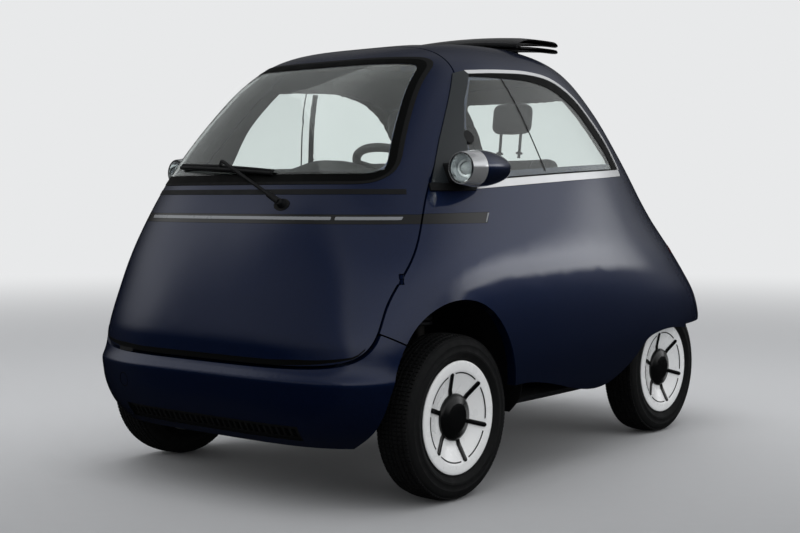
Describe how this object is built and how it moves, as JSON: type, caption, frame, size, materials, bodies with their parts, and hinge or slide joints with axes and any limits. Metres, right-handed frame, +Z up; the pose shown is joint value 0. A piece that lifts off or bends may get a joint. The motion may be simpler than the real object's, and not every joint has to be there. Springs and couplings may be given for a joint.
{
  "type": "bubble microcar",
  "caption": "Two-seat electric bubble car with a swinging front door, wide front track, folding fabric roof and a top-hinged tailgate.",
  "frame": {"origin": "on the ground, at the centre of the bounding box's underside", "axes": "+Z up, the front faces -Y, the car's left side is +X"},
  "size_m": [1.48, 2.52, 1.5949],
  "materials": {
    "paint": "gloss",
    "glass": "gloss",
    "dark_plastic": "matte",
    "chrome": "satin",
    "roof_fabric": "woven",
    "lamp_red": "gloss",
    "lamp_clear": "gloss",
    "steel": "satin",
    "seat_fabric": "woven",
    "wheel_rim": "grained",
    "aluminium": "cast",
    "cast_iron": "cast",
    "tyre": "matte",
    "trim_white": "gloss"
  },
  "bodies": {
    "body": {"side_panel_left": "paint", "side_panel_right": "paint", "side_windows": "glass", "window_trims": "chrome", "side_blades": "dark_plastic", "roof_frame": "paint", "roof_canopy": "roof_fabric", "front_bumper": "paint", "lower_grille": "dark_plastic", "rear_bumper": "paint", "rear_light_bar": "lamp_red", "rear_valance": "dark_plastic", "lamp_pods": "paint", "lamp_lenses": "lamp_clear", "floor_pan": "steel", "arch_liners": "dark_plastic", "seat_cushion": "seat_fabric", "seat_back": "seat_fabric", "headrests": "seat_fabric", "steering_column": "dark_plastic", "pedals": "steel", "battery": "aluminium", "drive_unit": "aluminium", "rear_axle": "steel", "suspension_struts": "steel", "front_axle": "steel"},
    "front_door": {"front_door": "paint", "windscreen": "glass", "front_light_bar": "dark_plastic", "wiper": "dark_plastic", "door_bar": "dark_plastic"},
    "tailgate": {"rear_hatch": "paint", "rear_window": "glass"},
    "steering_wheel": {"steering_wheel": "wheel_rim"},
    "knuckle_left": {"knuckle_left": "cast_iron"},
    "knuckle_right": {"knuckle_right": "cast_iron"},
    "wheel_front_left": {"tyre_front_left": "tyre", "rim_front_left": "trim_white"},
    "wheel_front_right": {"tyre_front_right": "tyre", "rim_front_right": "trim_white"},
    "wheel_rear_left": {"tyre_rear_left": "tyre", "rim_rear_left": "trim_white"},
    "wheel_rear_right": {"tyre_rear_right": "tyre", "rim_rear_right": "trim_white"}
  },
  "joints": [
    {"name": "front_door_hinge", "type": "hinge", "parent": "body", "child": "front_door", "pos_m": [0.643, -1, 0.706], "axis": [0, 0, 1], "range_deg": [0, 75]},
    {"name": "tailgate_hinge", "type": "hinge", "parent": "body", "child": "tailgate", "pos_m": [0, 0.46537, 1.447], "axis": [1, 0, 0], "range_deg": [0, 65]},
    {"name": "steer_left", "type": "hinge", "parent": "body", "child": "knuckle_left", "pos_m": [0.534, -0.78, 0.2665], "axis": [0, 0, 1], "range_deg": [-25, 25]},
    {"name": "steer_right", "type": "hinge", "parent": "body", "child": "knuckle_right", "pos_m": [-0.534, -0.78, 0.2665], "axis": [0, 0, 1], "range_deg": [-25, 25]},
    {"name": "steering_wheel_turn", "type": "hinge", "parent": "body", "child": "steering_wheel", "pos_m": [0.285, -0.545, 1.045], "axis": [0, 0.4833, 0.8754], "range_deg": [-400, 400]},
    {"name": "roll_front_left", "type": "hinge", "parent": "knuckle_left", "child": "wheel_front_left", "pos_m": [0.63375, -0.78, 0.2665], "axis": [1, 0, 0], "continuous": true},
    {"name": "roll_front_right", "type": "hinge", "parent": "knuckle_right", "child": "wheel_front_right", "pos_m": [-0.63375, -0.78, 0.2665], "axis": [1, 0, 0], "continuous": true},
    {"name": "roll_rear_left", "type": "hinge", "parent": "body", "child": "wheel_rear_left", "pos_m": [0.4995, 0.786, 0.2665], "axis": [1, 0, 0], "continuous": true},
    {"name": "roll_rear_right", "type": "hinge", "parent": "body", "child": "wheel_rear_right", "pos_m": [-0.4995, 0.786, 0.2665], "axis": [1, 0, 0], "continuous": true}
  ],
  "couplings": [
    {"joint": "steer_right", "follows": "steer_left", "ratio": 1},
    {"joint": "steering_wheel_turn", "follows": "steer_left", "ratio": 16}
  ]
}
